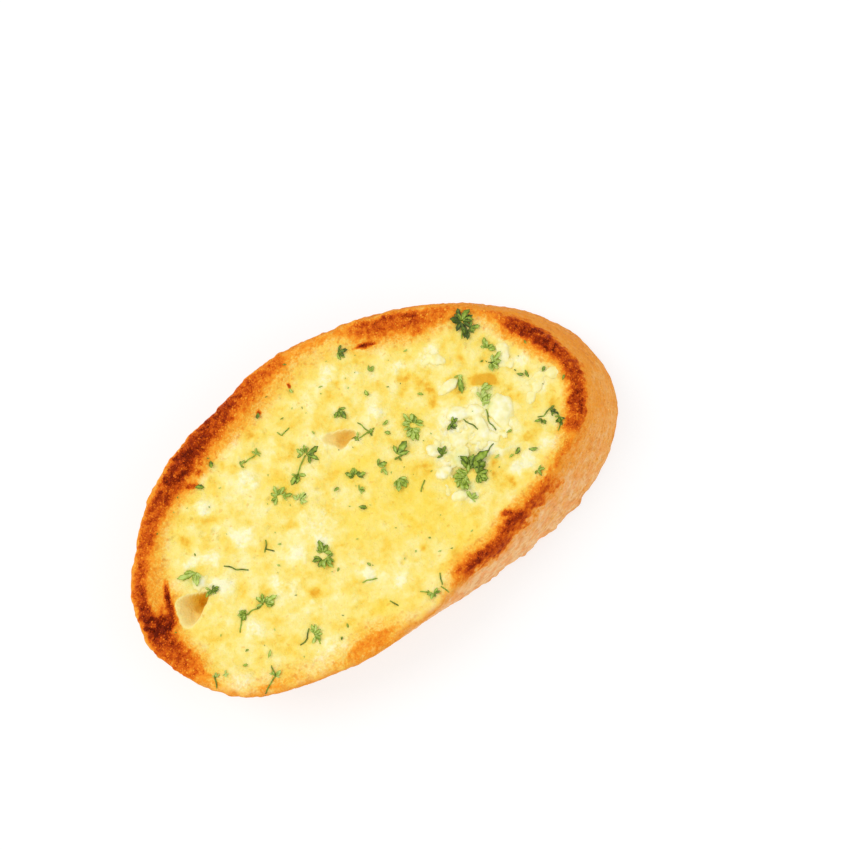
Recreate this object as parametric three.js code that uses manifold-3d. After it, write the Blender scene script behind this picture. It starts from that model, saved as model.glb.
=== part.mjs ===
import * as THREE from 'three';
import { mergeVertices } from 'three/addons/utils/BufferGeometryUtils.js';
import { ImprovedNoise } from 'three/addons/math/ImprovedNoise.js';
import Module from 'manifold-3d';

// A slice of garlic bread, cut on the slant from an oval white loaf and toasted. It lies on its
// lower cut face with the buttered face up. Chopped garlic, parsley and the burst air holes of the
// crumb are relief on the buttered face, in one piece with the bread.
// Millimetres, +Z up, +X along the slice, origin under its middle.

// The two cut faces and the crust between them
const faceLength = 108.5;
const faceWidth = 64.8;
const thickness = 18;
const slantShift = 8.5; // the lower face lies this far further towards +X
const rimRise = 0.7; // the toasted rim stands above the crumb
const rimInset = 3.2; // from the crust to the rim's crest
const rimSpread = 2.4;
const crumbSag = 0.5;
const crustBulge = 0.9;

// How far each face's outline swells beyond a plain ellipse, at even steps round from +X
const upperSwell = [
  0.981, 0.949, 0.956, 0.974, 0.986, 0.989, 1.001, 0.977, 0.955, 0.973, 0.962, 0.95,
  0.998, 1.051, 1.118, 1.061, 1.051, 0.986, 0.977, 0.928, 0.952, 0.937, 0.981, 1.039,
];
const lowerSwell = [
  0.978, 0.951, 0.945, 0.949, 0.954, 0.957, 0.961, 0.979, 0.991,
  1.03, 1.05, 1.02, 0.93, 0.87, 0.972, 1.011, 1.077, 1.066,
];

// Relief: height of the swells and the fine crags, and the distance from one to the next
const crumbSwells = { height: 0.55, every: 13 };
const crumbCrags = { height: 0.4, every: 4.2 };
const crustCrags = { height: 0.7, every: 7 };

// Rings of the body, as shares: of the radius on the two faces, of the thickness on the crust
const aroundCount = 90;
const upperRings = [0, 0.1, 0.2, 0.3, 0.4, 0.5, 0.59, 0.67, 0.74, 0.8, 0.855, 0.9, 0.935, 0.965];
const crustRings = [0.955, 0.86, 0.7, 0.5, 0.3, 0.14, 0.045];
const lowerRings = [0.965, 0.9, 0.75, 0.5, 0.25, 0];
const edgeShare = 0.988; // the cut edges are worn round to here

// Burst air holes and smaller pits, cut into the buttered face
const airHoles = [
  { x: -47.2, y: -2.8, long: 9.4, wide: 6.6, deep: 6, turn: 78 },
  { x: -2.4, y: 10, long: 8.4, wide: 5, deep: 3.4, turn: -28 },
];
const pits = { count: 9, size: 2.1, deep: 0.8, apart: 11 };
const scatterReach = 0.84; // scattered pits and flakes keep within this share of the outline

// Chopped garlic: where each lump lies, its length and width, and the way it points
const garlicLumps = [
  { x: 29.1, y: -5.2, long: 8.8, wide: 5.6, turn: 50 },
  { x: 24.6, y: -0.6, long: 7.2, wide: 4.6, turn: -20 },
  { x: 20.6, y: 0.6, long: 5, wide: 3.8, turn: 40 },
  { x: 18.3, y: -6.6, long: 5.4, wide: 4.6, turn: 10 },
  { x: 26.4, y: 13.5, long: 7, wide: 4.4, turn: -60 },
  { x: 43.7, y: -4.9, long: 3.8, wide: 3.2, turn: 0 },
  { x: 39.4, y: -6.6, long: 4.4, wide: 3.2, turn: 30 },
  { x: 23.3, y: 6.2, long: 5, wide: 2.6, turn: 30 },
  { x: 39.9, y: 7.4, long: 2.8, wide: 2.2, turn: 0 },
  { x: -43.4, y: 1.6, long: 4.4, wide: 3.2, turn: 60 },
  { x: -17.7, y: -4.2, long: 6.6, wide: 4, turn: -25 },
  { x: 5, y: 22.5, long: 6.2, wide: 3.6, turn: -40 },
  { x: -29.6, y: -10.7, long: 4.6, wide: 3, turn: 15 },
];

// Parsley: where each sprig's stalk starts, how long it is and the way it points
const sprigs = [
  { x: 34, y: 15.2, size: 5.4, turn: 45 },
  { x: 36.4, y: 7.2, size: 4, turn: 95 },
  { x: 35.2, y: 2.6, size: 3.8, turn: 15 },
  { x: 26.6, y: 3.2, size: 4.2, turn: 80 },
  { x: 30, y: 0.9, size: 3.8, turn: 10 },
  { x: 11.2, y: 23.6, size: 3.4, turn: 150 },
  { x: 36.6, y: -15, size: 4.4, turn: 40 },
  { x: 21.2, y: -1.9, size: 2.8, turn: 170 },
  { x: 1.8, y: 12, size: 3, turn: 100 },
  { x: 2.6, y: 7, size: 3.4, turn: 60 },
  { x: 12.4, y: 1.2, size: 5, turn: 85 },
  { x: 5, y: -2.2, size: 4.6, turn: 25 },
  { x: 0.6, y: -2.4, size: 4.4, turn: 30 },
  { x: -3.4, y: -0.2, size: 4, turn: 60 },
  { x: -11, y: 8.6, size: 6, turn: 65 },
  { x: -12.8, y: 9.6, size: 3.6, turn: -120 },
  { x: -17.2, y: 4.8, size: 4.4, turn: 115 },
  { x: -15.8, y: 1.6, size: 3.2, turn: 60 },
  { x: 16.6, y: -13, size: 7.4, turn: 60 },
  { x: 15.4, y: -12.6, size: 5, turn: -150 },
  { x: 19.2, y: -12.6, size: 4.4, turn: -40 },
  { x: 14.4, y: -18.4, size: 2.8, turn: 60 },
  { x: -17.6, y: -11, size: 6, turn: 75 },
  { x: -18.4, y: -8.4, size: 4.6, turn: -150 },
  { x: -35.4, y: -10.8, size: 4, turn: 40 },
  { x: -37.8, y: -10.6, size: 4.4, turn: -160 },
  { x: -30.2, y: -22.6, size: 4.6, turn: 35 },
  { x: -5.2, y: -29, size: 3.8, turn: 20 },
  { x: -42.2, y: -3, size: 3, turn: 60 },
];
const flakes = { count: 16, size: 1.5, wide: 0.6, high: 0.7, apart: 7 };

// A lump's skin swells and dips by this share of its radius, in this many knobs across
const lumpUnevenness = 0.35;
const lumpKnobs = 2.2;
const lumpHeight = 0.6; // as a share of its width
const lumpLift = 0.1; // its centre stands this far above the crumb

// A leaf: thickness, how deep it is pressed into the butter and how far its tips curl up, and its
// stalk, its heart and its lobes as shares of its size
const leaf = {
  thickness: 0.7, sink: 0.25, curl: 0.7, stalk: 0.3, halfStalk: 0.06, heart: 0.34, lobe: 0.46,
};
const leafLobes = 3;
const stepsPerLobe = 4;
const leafNarrowing = 0.8; // across, compared with along
const lobeBluntness = 0.6; // under 1 for round lobes

const wasm = await Module();
wasm.setup();

const noise = new ImprovedNoise();
const degree = Math.PI / 180;

// Smooth value at any angle of a list that goes once round
function roundTheClock(values, angle) {
  const place = (((angle / (2 * Math.PI)) % 1) + 1) % 1 * values.length;
  const step = Math.floor(place);
  const share = place - step;
  const [a, b, c, d] = [-1, 0, 1, 2].map((k) => values[(step + k + values.length) % values.length]);
  const slopeB = (c - a) / 2;
  const slopeC = (d - b) / 2;
  return b + share * (slopeB + share * (3 * (c - b) - 2 * slopeB - slopeC
    + share * (2 * (b - c) + slopeB + slopeC)));
}

function outlineRadius(swell, angle) {
  const a = faceLength / 2;
  const b = faceWidth / 2;
  const ellipse = (a * b) / Math.hypot(b * Math.cos(angle), a * Math.sin(angle));
  return ellipse * roundTheClock(swell, angle);
}

function noiseAt({ height, every }, x, y, z = 0) {
  return height * noise.noise(x / every, y / every, z / every);
}

// Height of the buttered face above the plain thickness, by place and by distance from the crust
function upperRelief(x, y, inset) {
  const crest = Math.exp(-(((inset - rimInset) / rimSpread) ** 2));
  const inner = THREE.MathUtils.smoothstep(inset, rimInset, 3 * rimInset);
  return rimRise * crest - crumbSag * inner
    + noiseAt(crumbSwells, x, y) * inner + noiseAt(crumbCrags, x, y);
}

// The body starts as a lathed disc of unit radius and unit height, whose vertices are then moved
function breadGeometry() {
  const profile = [
    ...upperRings.map((share) => new THREE.Vector2(share, 1)),
    new THREE.Vector2(edgeShare, 1),
    ...crustRings.map((share) => new THREE.Vector2(1, share)),
    new THREE.Vector2(edgeShare, 0),
    ...lowerRings.map((share) => new THREE.Vector2(share, 0)),
  ].reverse();
  const geometry = bareGeometry(new THREE.LatheGeometry(profile, aroundCount).rotateX(Math.PI / 2));
  moveVertices(geometry, (p) => {
    const angle = Math.atan2(p.y, p.x);
    const share = Math.hypot(p.x, p.y);
    const level = p.z;
    const plainRadius = THREE.MathUtils.lerp(
      outlineRadius(lowerSwell, angle), outlineRadius(upperSwell, angle), level,
    );
    const onCrust = Math.sin(Math.PI * level);
    const crags = noiseAt(
      crustCrags, plainRadius * Math.cos(angle), plainRadius * Math.sin(angle), thickness * level,
    );
    const radius = plainRadius + crustBulge * onCrust + crags * Math.min(1, 3 * onCrust);
    const inset = (1 - share) * radius;
    const x = share * radius * Math.cos(angle) + slantShift * (0.5 - level);
    const y = share * radius * Math.sin(angle);
    const relief = level === 1 ? upperRelief(x, y, inset) : 0;
    p.set(x, y, thickness * level + relief);
  });
  return geometry;
}

// A lump: a ball with an uneven skin
function lumpGeometry(long, wide, high, detail, seed) {
  const geometry = bareGeometry(new THREE.IcosahedronGeometry(0.5, detail));
  moveVertices(geometry, (p) => {
    const swell = noise.noise(lumpKnobs * p.x + seed, lumpKnobs * p.y, lumpKnobs * p.z);
    p.multiplyScalar(1 + lumpUnevenness * swell);
    p.set(p.x * long, p.y * wide, p.z * high);
  });
  return geometry;
}

// A parsley leaf: a fan of lobes on a short stalk, curled upwards
function leafGeometry(size, seed) {
  const stalk = leaf.stalk * size;
  const halfStalk = leaf.halfStalk * size;
  const outline = [new THREE.Vector2(-stalk, halfStalk), new THREE.Vector2(-stalk, -halfStalk)];
  const steps = leafLobes * stepsPerLobe;
  for (let k = 0; k <= steps; k += 1) {
    const angle = (k / steps - 0.5) * Math.PI;
    const bluntLobe = Math.abs(Math.cos(leafLobes * angle)) ** lobeBluntness;
    const reach = size * (leaf.heart + leaf.lobe * bluntLobe);
    outline.push(new THREE.Vector2(reach * Math.cos(angle), leafNarrowing * reach * Math.sin(angle)));
  }
  const geometry = bareGeometry(new THREE.ExtrudeGeometry(new THREE.Shape(outline), {
    depth: leaf.thickness, bevelEnabled: false,
  }));
  moveVertices(geometry, (p) => {
    const away = Math.hypot(p.x, p.y) / size;
    const flutter = noise.noise((2 * p.x) / size + seed, (2 * p.y) / size, 0);
    p.z += leaf.curl * (away * away + flutter / 2);
  });
  return geometry;
}

// Only positions, with the vertices that coincide joined
function bareGeometry(geometry) {
  geometry.deleteAttribute('normal');
  geometry.deleteAttribute('uv');
  return mergeVertices(geometry, 1e-5);
}

function moveVertices(geometry, move) {
  const position = geometry.attributes.position;
  const p = new THREE.Vector3();
  for (let i = 0; i < position.count; i += 1) {
    move(p.fromBufferAttribute(position, i));
    position.setXYZ(i, p.x, p.y, p.z);
  }
}

function solidOf(geometry) {
  const index = [];
  for (let i = 0; i < geometry.index.count; i += 3) {
    const [a, b, c] = geometry.index.array.subarray(i, i + 3);
    if (a !== b && b !== c && c !== a) index.push(a, b, c);
  }
  return new wasm.Manifold(new wasm.Mesh({
    numProp: 3,
    vertProperties: new Float32Array(geometry.attributes.position.array),
    triVerts: new Uint32Array(index),
  }));
}

function geometryOf(solid) {
  const { vertProperties, triVerts } = solid.getMesh();
  const geometry = new THREE.BufferGeometry();
  geometry.setAttribute('position', new THREE.BufferAttribute(vertProperties, 3));
  geometry.setIndex(new THREE.BufferAttribute(triVerts, 1));
  geometry.computeVertexNormals();
  return geometry;
}

// Height of the buttered face at a place, found by looking down on the body
const caster = new THREE.Raycaster();
function heightAt(mesh, x, y) {
  caster.set(new THREE.Vector3(x, y, 2 * thickness), new THREE.Vector3(0, 0, -1));
  return caster.intersectObject(mesh)[0].point.z;
}

// Places spread over the buttered face by a seeded draw, no two closer than apart
function scatter({ count, apart }, seed) {
  const places = [];
  let draw = seed;
  const random = () => THREE.MathUtils.seededRandom(draw += 1);
  while (places.length < count) {
    const angle = 2 * Math.PI * random();
    const share = scatterReach * Math.sqrt(random());
    const radius = share * outlineRadius(upperSwell, angle);
    const place = {
      x: radius * Math.cos(angle) - slantShift / 2,
      y: radius * Math.sin(angle),
      turn: 360 * random(),
    };
    const taken = [...places, ...airHoles];
    if (taken.every((other) => Math.hypot(other.x - place.x, other.y - place.y) > apart)) {
      places.push(place);
    }
  }
  return places;
}

function placed(geometry, { x, y, turn }, z) {
  return geometry.rotateZ(turn * degree).translate(x, y, z);
}

function makeSlice() {
  const bare = breadGeometry();
  const face = new THREE.Mesh(bare);
  const seat = (place, geometry, lift) => solidOf(
    placed(geometry, place, heightAt(face, place.x, place.y) + lift),
  );

  const holes = [
    ...airHoles.map((h, i) => seat(h, lumpGeometry(h.long, h.wide, 2 * h.deep, 2, i), 0)),
    ...scatter(pits, 40).map((p, i) => seat(p, lumpGeometry(pits.size, pits.size, 2 * pits.deep, 1, i), 0)),
  ];
  const toppings = [
    ...garlicLumps.map(
      (g, i) => seat(g, lumpGeometry(g.long, g.wide, lumpHeight * g.wide, 1, i), lumpLift),
    ),
    ...sprigs.map((s, i) => seat(s, leafGeometry(s.size, i), -leaf.sink)),
    ...scatter(flakes, 900).map(
      (f, i) => seat(f, lumpGeometry(flakes.size, flakes.wide, flakes.high, 0, i), lumpLift),
    ),
  ];

  const cut = wasm.Manifold.difference([solidOf(bare), ...holes]);
  const whole = wasm.Manifold.union([cut, ...toppings]);
  const bodies = whole.decompose().sort((a, b) => b.volume() - a.volume());
  return geometryOf(bodies[0]);
}

const sliceGeometry = makeSlice();
sliceGeometry.computeBoundingBox();
const middle = sliceGeometry.boundingBox.getCenter(new THREE.Vector3());

const toastedBread = new THREE.MeshStandardMaterial({ color: 0xe9b65a, roughness: 0.6, metalness: 0 });
const slice = new THREE.Mesh(sliceGeometry, toastedBread);
slice.name = 'garlic_bread_slice';
slice.position.set(-middle.x, -middle.y, -sliceGeometry.boundingBox.min.z);

const garlicBread = new THREE.Group();
garlicBread.add(slice);

export default garlicBread;
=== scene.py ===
import bisect
import math
import random

import bmesh
import bpy
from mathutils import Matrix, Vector, noise
from mathutils.bvhtree import BVHTree


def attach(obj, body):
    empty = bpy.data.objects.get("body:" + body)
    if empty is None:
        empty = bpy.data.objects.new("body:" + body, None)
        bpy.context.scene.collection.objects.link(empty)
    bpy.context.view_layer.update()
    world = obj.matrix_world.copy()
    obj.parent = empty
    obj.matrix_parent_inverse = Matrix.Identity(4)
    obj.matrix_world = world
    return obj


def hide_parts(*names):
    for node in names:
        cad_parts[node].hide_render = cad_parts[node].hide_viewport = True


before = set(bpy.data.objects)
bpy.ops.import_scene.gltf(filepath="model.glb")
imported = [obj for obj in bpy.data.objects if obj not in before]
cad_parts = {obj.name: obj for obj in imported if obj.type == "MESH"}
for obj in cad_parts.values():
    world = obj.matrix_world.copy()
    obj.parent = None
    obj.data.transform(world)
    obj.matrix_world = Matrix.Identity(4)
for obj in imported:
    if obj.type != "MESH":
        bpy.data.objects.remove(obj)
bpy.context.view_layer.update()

# A toasted slice of garlic bread, lying on its lower cut face. Sizes and places are in millimetres,
# with +X along the slice and z up from what it lies on. Angles go round from +X, in degrees.
mm = 0.001

bread = {
    "length": 108.5, "width": 64.8, "thick": 18.0,
    "slant": 8.5,                      # the lower face lies this far further towards +X
    "centring": (0.51, -0.23),         # from the outline's own centre to the origin
    "crustBulge": 0.9,
    "rimRise": 0.7, "rimInset": 3.2, "rimSpread": 2.4,
    "crumbSag": 0.5,
    "faceCells": (264, 160),           # the lower face has half as many each way
    "crustRows": 38, "crowding": 0.4,  # 0 spaces the rows evenly, 1 crowds them at both edges
    "upperEdge": 1.3, "lowerEdge": 0.9,   # radius of the worn edges
    "loafTurn": 0.12,                  # the loaf's top is turned this far (radians) from +Y
    # how far each face's outline swells beyond a plain ellipse, at even steps
    "upperSwell": [
        0.981, 0.949, 0.951, 0.965, 0.979, 0.986, 1.001, 0.977, 0.955, 0.973, 0.962, 0.95,
        0.998, 1.051, 1.118, 1.095, 1.068, 1.026, 0.998, 0.936, 0.952, 0.937, 0.981, 1.039,
    ],
    "lowerSwell": [
        0.989, 0.953, 0.945, 0.949, 0.954, 0.957, 0.961, 0.979, 0.991,
        1.03, 1.05, 1.02, 0.95, 0.9, 0.964, 1.002, 1.06, 1.064,
    ],
}

# relief, as (height, distance from one bump to the next)
relief = {
    "swells": (0.55, 13.0), "crags": (0.4, 4.2), "crumbs": (0.22, 1.5), "mush": (0.5, 1.9),
    "rimGrain": (0.5, 0.9), "rimTeeth": (0.55, 2.3), "rimNicks": (0.3, 1.1),
    "crustCrags": (0.45, 7.0), "crustSkin": (0.14, 1.3), "scallops": (0.7, 4.0),
}

# browning of the buttered face: angle, darkness, where its dark core starts and ends, in from the
# edge of the face (less than 0 is down the crust), and where it has faded to plain crumb
toastClock = [
    (0, 0.84, 0.6, 3.1, 6.8), (10, 0.8, 0.8, 3.7, 6.8), (14, 0.46, 0.8, 2, 6), (20, 0.38, 0.5, 2, 6.5),
    (26, 0.4, 0.5, 3.4, 9), (30, 0.52, 1.8, 4.6, 10), (38, 0.67, 1.9, 4.7, 10), (46, 0.67, 1.9, 4.5, 9.5),
    (54, 0.6, 1.8, 3.8, 8.5), (60, 0.4, 1, 2.3, 8), (66, 0.34, 0.5, 1.8, 8), (82, 0.35, 0.5, 2, 8.5),
    (87, 0.52, 1.2, 3, 9), (96, 0.56, 1, 3, 9), (104, 0.64, 0.4, 2.8, 9.5), (112, 0.72, 0.2, 2.8, 9.5),
    (122, 0.76, 0.4, 2.9, 9.5), (128, 0.8, 1.4, 4.2, 10), (136, 0.87, 2, 5, 10), (145, 0.87, 2.4, 5, 10),
    (150, 0.75, 2.2, 4.8, 9.5), (157, 0.64, 1.6, 4.2, 8.6), (165, 0.62, 1.8, 3.2, 8),
    (172, 0.7, 2.1, 3.2, 9.5), (177, 0.78, 2, 3.4, 11), (180, 0.82, 1.8, 4.6, 12),
    (182, 0.88, 1.8, 6.2, 12), (185, 0.8, 1.8, 5.2, 10), (189, 0.66, 1, 4.6, 8.5),
    (196, 0.56, 0.8, 3.9, 7.5), (200, 0.34, 0.8, 2, 5.5), (208, 0.2, 1, 1.5, 4.5), (213, 0.28, 1.2, 2.6, 8),
    (219, 0.28, 1.2, 2.6, 8), (224, 0.22, 1, 1.5, 7), (232, 0.26, 1, 2, 7), (237, 0.37, 0.8, 3.8, 9),
    (245, 0.4, 0.6, 3.6, 8), (250, 0.34, 0.1, 2.6, 6.5), (256, 0.24, -0.1, 1.4, 5),
    (265, 0.16, 0, 0.5, 4.5), (275, 0.28, 0, 0.8, 4), (281, 0.42, 0, 1.4, 5), (285, 0.72, 0.1, 1.6, 5),
    (298, 0.76, 0, 1.4, 5.2), (304, 0.74, 0.1, 1.1, 5.4), (309, 0.8, 0, 1.5, 5.2),
    (315, 0.7, -0.5, 0.9, 4.8), (323, 0.6, -0.1, 0.8, 4.8), (328, 0.44, 0, 1.4, 5), (332, 0.4, -0.6, 2, 6),
    (337, 0.42, 0.2, 2.2, 6), (340, 0.7, 1.4, 3.7, 6.8), (346, 0.78, 1.7, 4.2, 7.2),
    (350, 0.74, 1.3, 3.3, 6), (354, 0.74, 0.7, 2.6, 5.6), (360, 0.84, 0.6, 3.1, 6.8),
]
# how brown it stays between the core and the crust, at even steps round
rimTones = [0.3, 0.28, 0.28, 0.3, 0.33, 0.33, 0.33, 0.31, 0.28, 0.24, 0.26, 0.28]
# how browning fades: pairs say where a fade starts and ends, and lists are layers of noise, each
# as (height, distance from one bump to the next)
toasting = {
    "ragged": [(0.5, 4.5), (0.5, 1.7), (0.7, 0.85)],
    "patchy": [(0.2, 3.1), (0.32, 1.1)],
    "core": (-0.15, 0.8),              # of the way from the core's inner edge to where it has faded
    "glow": (0.3, 1.6),                # the same, for the lighter glow around the core
    "glowLeast": 0.12, "glowMore": 0.27,
    "rim": (4, 14), "rimShare": 0.42,  # in from the edge, and how much of the rim's tone it keeps
    "outward": (0, 2),                 # from the core's outer edge
    "down": (0.6, 3.4),                # past the edge and down the crust
    "downCrust": 0.36,                 # it reaches this much less far, measured down the crust
    "spot": (0.5, 1.4), "spotRagged": 0.5,
}
# darker spots: angle, inset, half length along the crust, half width, darkness
scorches = [
    (177.5, 7.9, 2.6, 0.6, 0.85), (180.6, 7.9, 2, 0.8, 0.9), (183.4, 5.8, 1.6, 2.2, 0.95),
    (182, 3, 2, 1.7, 1), (50.5, 6.6, 2.3, 0.6, 0.8), (312.5, 3, 0.8, 1.3, 0.8), (147, 8, 0.6, 1.3, 0.75),
    (142, 7.6, 0.7, 0.8, 0.6), (109, 7.2, 0.5, 0.4, 0.74), (346, 4.2, 1, 1, 0.72),
    (89, 7.5, 0.3, 0.6, 0.72), (33, 6.4, 1.5, 0.8, 0.5),
]
# stretches that stayed light inside the browning, in the same way
pale = [(172.5, 5, 4.8, 1.3, 0.32), (177.6, 5, 2.8, 1.1, 0.32)]

# cream-white butter and garlic mash, with two spots of painted highlight among them, and deeper golden
# spots: x, y, half size
creamSpots = [
    # (-5.5, 10.5) and (-0.5, 6.5) are a painted highlight on the lip of the middle air hole
    (8, 19.5, 3.4), (3.4, 21.5, 3), (-5.5, 10.5, 3.4), (-0.5, 6.5, 3), (-20, 22.5, 2.6), (-22.5, 12.5, 3.2),
    (-33.5, 13, 2.6), (-30, 3.5, 4), (-17, -2, 4.2), (-13.5, -3, 3.4), (-17, -5.5, 4), (25, 13.5, 3.6),
    (17.5, 15.5, 2.8), (23, 5.5, 2.8), (8, 9.5, 3.4), (38, 5.5, 3), (27.5, -17.5, 3.6), (11.5, -17, 3.2),
    (-8.5, -23, 3.6), (-27.5, -27, 4), (-38.5, 3.5, 3), (-22.5, -5.5, 3), (-26.5, -17, 3),
    (-39.5, -14, 3.4), (-29, -10.5, 4), (-39.5, -3, 3.6), (-47.5, -21.5, 4.5), (5, 22.5, 3.2),
    (-13, -18, 3.4), (19, -1, 7), (27, -4, 8), (15, -6, 6), (13, -16, 4), (23, -8, 7.5), (21, -4, 7),
    (27.5, -7, 6), (41, -5, 4), (34.3, -16.4, 3), (-42, 4.5, 2.6), (-31, -27.5, 3.4), (40, 1, 3),
    (26.9, -12.3, 3), (12.1, -9.4, 3), (25.9, -17.4, 3.6),
]
goldSpots = [
    (3.5, 19, 2.4), (-17.5, 20.5, 2.4), (-34.5, 10.5, 2.6), (-40, 8.5, 2.4), (-12.5, -1.5, 2.2),
    (15.5, 10.5, 3), (17.5, 13, 2), (34.9, -1.9, 1.8), (34.5, -5, 1.8), (31.5, -13.3, 2.8),
    (40.7, -8.7, 2.6), (23, -19.3, 2.8), (22.2, -14.8, 2.8), (-0.5, -20, 1.8), (7, -22, 2.2),
    (-36.5, -6, 2.6), (-29.5, -11, 1.8), (-11, 12.5, 2.6), (30, 8.5, 2), (-26, 20, 3), (4, -26, 2.4),
    (-21, 0, 2.2), (20, 9, 2.2), (-24.5, -14, 2.2), (16.8, -0.8, 2), (9.6, -5.7, 2.2), (19.9, 6.4, 1.8),
    (19.2, 4.5, 2.2), (24.8, 3.8, 1.6), (24.6, 1, 1.8), (18.2, -3.6, 1.4), (22.1, -7.5, 1.4),
    (16.5, -17.7, 1.4),
]
spotWander = [(1.3, 2.6), (0.6, 1.1)]
spotMiddle = 0.1                       # this share of a spot, from its middle, is at full strength
# a burst bubble, golden on one side of its middle
goldBubble = {
    "x": 30.2, "y": 1.3, "radius": 2, "soft": 2, "from": -45, "to": 165, "ease": 30,
    "wobble": [(0.5, 1.5)], "patchy": [(0.2, 1.2)], "gold": 2.2, "rise": 0.5,
}
herbSpots = [
    (17, -9.2, 3.2), (29.6, -0.3, 2.8), (27, 4.8, 2), (-43.4, 1.8, 3), (28.5, -3.4, 2.2),
    (14.5, -14.5, 2.6),
]
butterPools = [
    (3, -11, 13), (14, 4, 6), (-8, -8, 8), (8, -20, 8), (-2, 2, 7), (-19, 7, 5), (-14, -27, 5),
]

# burst air holes: the deepest point, and how far the hole reaches from it at even steps round
airHoles = [
    # in each, tint is the painted shade's strength at the deepest point, and golden is how far from it that
    # painted shade fades to its least
    {"x": -44.2, "y": -2.9, "deep": 5.0, "tint": 1.0, "golden": 4.4,
     "reach": [1.6, 1.9, 1.6, 1.8, 2.8, 5.9, 6.5, 7.1, 2.1, 1.3, 1.1, 1.1]},
    {"x": -0.2, "y": 8.7, "deep": 2.8, "tint": 0.66, "golden": 4.0,
     "reach": [2.6, 2.1, 1.9, 2.1, 3.2, 5.6, 3.4, 3.3, 1.9, 1.3, 1.3, 2.2]},
]
# the lip and bowl of the holes' shape, and their painted shade: its least, how far from the deepest point it
# starts to fade, and how soon it comes in past the rim
hollow = {
    "lip": 0.35, "bowl": 1.3, "wobble": [(0.3, 1.4)],
    "leastHoleShade": 0.3, "holeShadeFrom": 0.5, "rim": 0.14,
}
pores = {"every": 2.7, "share": 0.42, "size": (0.35, 0.85), "deep": 0.5, "flat": 0.3, "draw": 17.3}

# the crust meets each face halfway round its worn edge
edgeIn = bread["upperEdge"] * (1 - math.sqrt(0.5))
footIn = bread["lowerEdge"] * (1 - math.sqrt(0.5))

butteredFace = {
    "creamFade": (0.25, 0.5),          # no cream lies where it is browner than this
    "creamRise": 0.35, "goldDip": 0.15,
    "holeFade": (0, 0.25), "edgeBlend": (0, 4),
    "crustEdge": (0.2, 1.7), "crustWander": [(0.8, 2.2)],
}
crustWall = {
    "corner": 0.42, "cornerFade": (0.3, 3.2),   # how baked the corner is at least, and how far down
    "base": (0.12, 0.32),              # by crustSide, where the loaf's base ends
    "crags": (0.3, 3), "ease": 4,      # how fast relief grows with the distance from both edges
    "creased": 0.05, "scalloped": 0.2,   # how much of each shows away from the base
    "scallopsTo": 0.3,
    "toothed": (0.45, 0.4), "teethFrom": 0.85,   # on the base, and how much more off it
    "under": (0.3, 2.2), "underWander": [(0.8, 1.8)],
}
creases = {"deep": 0.12, "along": 3.2, "up": 1.3, "wander": [(0.9, 5)], "finer": (0.3, 2.3), "wide": 0.16}
blisters = {"tall": 0.32, "every": 1.7, "wide": 0.45, "grown": (0.3, 0.7), "side": (0.45, 0.8)}
lowerFace = {
    "pores": 0.6, "uneven": 0.12, "every": 3, "flat": (0.93, 0.99),
    "toast": 0.3, "rimToast": 0.35, "rimFrom": 0.7, "patchy": [(0.25, 6)], "crustFrom": 0.94,
}
# what every point of the bread carries for its finish
noFields = dict.fromkeys(
    ["toast", "cream", "gold", "butter", "pit", "herb", "crust", "side", "under", "crease"], 0.0,
)


def smoothStep(low, high, value):
    share = min(1.0, max(0.0, (value - low) / (high - low)))
    return share * share * (3 - 2 * share)


def between(a, b, share):
    return a + (b - a) * share


def roundTheClock(values, angle):
    # smooth value at any angle (radians) of a list that goes once round
    place = (angle / math.tau) % 1 * len(values)
    step = int(place)
    share = place - step
    a, b, c, d = (values[(step + k) % len(values)] for k in (-1, 0, 1, 2))
    slopeB = (c - a) / 2
    slopeC = (d - b) / 2
    bend = 3 * (c - b) - 2 * slopeB - slopeC
    return b + share * (slopeB + share * (bend + share * (2 * (b - c) + slopeB + slopeC)))


def outlineRadius(swell, angle):
    a = bread["length"] / 2
    b = bread["width"] / 2
    ellipse = a * b / math.hypot(b * math.cos(angle), a * math.sin(angle))
    return ellipse * roundTheClock(swell, angle)


def wander(layers, here, start=0.0):
    # several layers of noise on top of each other
    return sum((height * noise.noise(here / every) for height, every in layers), start)


def bumps(kind, x, y, z=0.0):
    height, every = relief[kind]
    return height * noise.noise(Vector((x, y, z)) / every)


def edgeDrop(inset, radius):
    # how far a worn edge has fallen away at this distance in from it
    if inset >= radius:
        return 0.0
    return radius - math.sqrt(radius ** 2 - (radius - max(0.0, inset)) ** 2)


def clockRow(rows, degrees):
    # the row's values at this angle, eased from one row to the next
    after = bisect.bisect_right(rows, degrees, key=lambda row: row[0])
    first = rows[after - 1]
    second = rows[min(after, len(rows) - 1)]
    share = smoothStep(0, 1, (degrees - first[0]) / max(1e-6, second[0] - first[0]))
    return [between(a, b, share) for a, b in zip(first[1:], second[1:])]


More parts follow.
